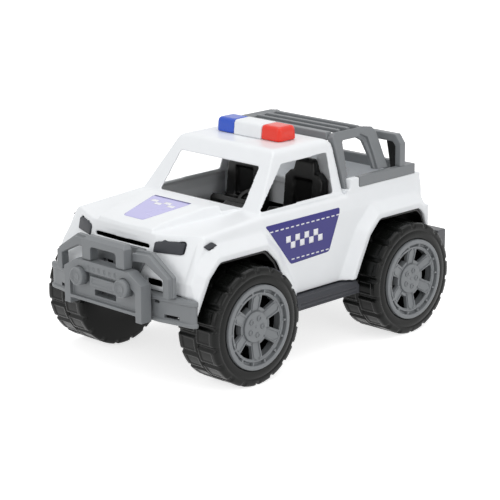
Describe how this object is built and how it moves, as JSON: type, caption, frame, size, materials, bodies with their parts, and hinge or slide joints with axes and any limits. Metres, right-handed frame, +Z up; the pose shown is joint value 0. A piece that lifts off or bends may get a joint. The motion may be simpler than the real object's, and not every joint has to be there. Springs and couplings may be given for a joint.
{
  "type": "toy police pickup car",
  "caption": "Large moulded plastic toy police pickup with a hollow cabin, open cargo bed, roll cage, roof light bar, front guard and free-rolling lugged wheels.",
  "frame": {"origin": "on the floor under the middle of the whole car's box", "axes": "+Z up, nose along -Y, the car's left side along +X"},
  "size_m": [0.24, 0.388, 0.2187],
  "materials": {
    "white_plastic": "glossy white moulded plastic",
    "grey_plastic": "satin mid-grey moulded plastic",
    "dark_grey_plastic": "satin dark grey moulded plastic",
    "black_plastic": "glossy black moulded plastic",
    "red_plastic": "glossy red moulded plastic",
    "blue_plastic": "glossy blue moulded plastic",
    "steel_rod": "drawn steel rod"
  },
  "bodies": {
    "root": {"body_shell": "white_plastic", "light_bar": "white_plastic", "bed_tub": "white_plastic", "chassis_pan": "black_plastic", "cabin_tray": "black_plastic", "dashboard": "black_plastic", "steering_wheel": "black_plastic", "seat_left": "black_plastic", "seat_right": "black_plastic", "hoop_panels": "black_plastic", "grille_panel": "grey_plastic", "fender_marker_left": "dark_grey_plastic", "fender_marker_right": "dark_grey_plastic", "axle_front": "steel_rod", "axle_rear": "steel_rod", "bumper_front": "grey_plastic", "bumper_rear": "dark_grey_plastic", "guard_arch": "grey_plastic", "guard_hoop": "grey_plastic", "guard_outer": "grey_plastic", "guard_lamps": "grey_plastic", "headlight_left": "dark_grey_plastic", "headlight_right": "dark_grey_plastic", "side_step_left": "dark_grey_plastic", "side_step_right": "dark_grey_plastic", "light_lens_red": "red_plastic", "light_lens_blue": "blue_plastic", "bed_rim": "grey_plastic", "cage_rack": "grey_plastic", "cage_hoop": "grey_plastic", "cage_side_left": "grey_plastic", "cage_side_right": "grey_plastic"},
    "wheel_front_left": {"tyre_front_left": "black_plastic", "hub_front_left": "grey_plastic"},
    "wheel_front_right": {"tyre_front_right": "black_plastic", "hub_front_right": "grey_plastic"},
    "wheel_rear_left": {"tyre_rear_left": "black_plastic", "hub_rear_left": "grey_plastic"},
    "wheel_rear_right": {"tyre_rear_right": "black_plastic", "hub_rear_right": "grey_plastic"}
  },
  "joints": [
    {"name": "spin_front_left", "type": "hinge", "parent": "root", "child": "wheel_front_left", "pos_m": [0.093, -0.1003, 0.057], "axis": [1, 0, 0], "continuous": true},
    {"name": "spin_front_right", "type": "hinge", "parent": "root", "child": "wheel_front_right", "pos_m": [-0.093, -0.1003, 0.057], "axis": [1, 0, 0], "continuous": true},
    {"name": "spin_rear_left", "type": "hinge", "parent": "root", "child": "wheel_rear_left", "pos_m": [0.093, 0.1223, 0.057], "axis": [1, 0, 0], "continuous": true},
    {"name": "spin_rear_right", "type": "hinge", "parent": "root", "child": "wheel_rear_right", "pos_m": [-0.093, 0.1223, 0.057], "axis": [1, 0, 0], "continuous": true}
  ]
}
